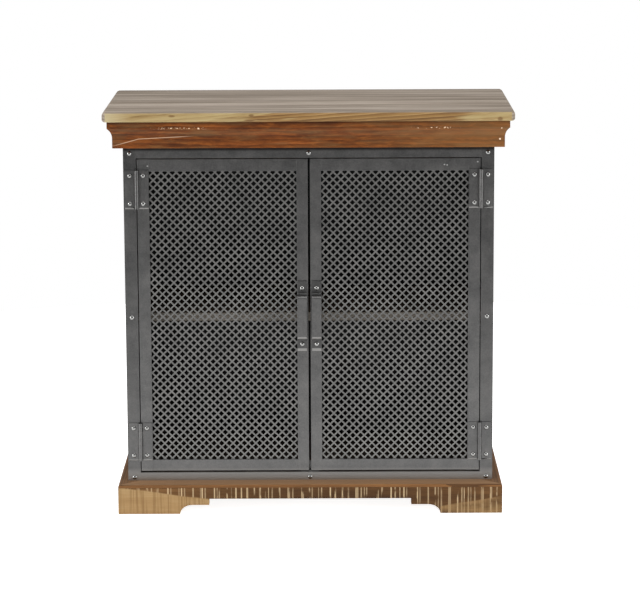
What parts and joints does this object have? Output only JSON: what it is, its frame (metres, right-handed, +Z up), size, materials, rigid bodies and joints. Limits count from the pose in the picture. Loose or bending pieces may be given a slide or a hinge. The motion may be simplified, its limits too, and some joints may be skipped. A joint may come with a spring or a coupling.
{
  "type": "sideboard buffet",
  "caption": "Steel cabinet with two hinged mesh doors, strap handles and an inner shelf, under a moulded solid wood top and on a wood plinth with bracket feet.",
  "frame": {"origin": "on the floor, at the middle of the overall width and depth", "axes": "+X to the right seen from the front, +Y to the back (the front faces -Y), +Z up"},
  "size_m": [0.9, 0.45, 0.9],
  "materials": {
    "top_wood": "clear matt lacquer on weathered softwood",
    "cornice_wood": "waxed reddish reclaimed hardwood",
    "cap_wood": "waxed reddish reclaimed hardwood",
    "plinth_wood": "waxed saw-marked reclaimed wood",
    "inner_wood": "plain oiled wood",
    "frame_steel": "dark patinated steel under clear lacquer",
    "mesh_steel": "patinated perforated steel",
    "fitting_steel": "dark patinated steel strap",
    "rivet_steel": "polished domes",
    "magnet": "moulded housing"
  },
  "bodies": {
    "cabinet": {"top_plank_1": "top_wood", "top_plank_2": "top_wood", "top_plank_3": "top_wood", "top_plank_4": "top_wood", "cornice_front": "cornice_wood", "cornice_left": "cornice_wood", "cornice_right": "cornice_wood", "top_battens": "cornice_wood", "top_screws": "rivet_steel", "post_front_left": "frame_steel", "post_front_right": "frame_steel", "post_back_left": "frame_steel", "post_back_right": "frame_steel", "front_top_rail": "frame_steel", "front_bottom_rail": "frame_steel", "back_rails": "frame_steel", "side_rails": "frame_steel", "corner_plates": "frame_steel", "side_panel_left": "frame_steel", "side_panel_right": "frame_steel", "back_panel": "frame_steel", "floor_board": "inner_wood", "shelf": "inner_wood", "shelf_runner_left": "frame_steel", "shelf_runner_right": "frame_steel", "plinth_front": "plinth_wood", "plinth_left": "plinth_wood", "plinth_right": "plinth_wood", "plinth_back": "plinth_wood", "plinth_cap_front": "cap_wood", "plinth_cap_left": "cap_wood", "plinth_cap_right": "cap_wood", "plinth_cap_back": "cap_wood", "plinth_blocks": "inner_wood", "frame_rivets": "rivet_steel", "catch_brackets": "frame_steel", "catch_magnet": "magnet", "hinge_leaves_left": "fitting_steel", "hinge_leaves_right": "fitting_steel", "hinge_pins": "rivet_steel"},
    "left_door": {"left_hinge_stile": "frame_steel", "left_meeting_stile": "frame_steel", "left_top_rail": "frame_steel", "left_bottom_rail": "frame_steel", "left_mesh": "mesh_steel", "left_beads": "frame_steel", "left_handle": "fitting_steel", "left_rivets": "rivet_steel", "left_strike": "rivet_steel", "left_door_leaves": "fitting_steel"},
    "right_door": {"right_hinge_stile": "frame_steel", "right_meeting_stile": "frame_steel", "right_top_rail": "frame_steel", "right_bottom_rail": "frame_steel", "right_mesh": "mesh_steel", "right_beads": "frame_steel", "right_handle": "fitting_steel", "right_rivets": "rivet_steel", "right_strike": "rivet_steel", "right_door_leaves": "fitting_steel"}
  },
  "joints": [
    {"name": "left_door_swing", "type": "hinge", "parent": "cabinet", "child": "left_door", "pos_m": [-0.3785, -0.1869, 0.4405], "axis": [0, 0, 1], "range_deg": [-160, 0]},
    {"name": "right_door_swing", "type": "hinge", "parent": "cabinet", "child": "right_door", "pos_m": [0.3785, -0.1869, 0.4405], "axis": [0, 0, 1], "range_deg": [0, 160]}
  ]
}
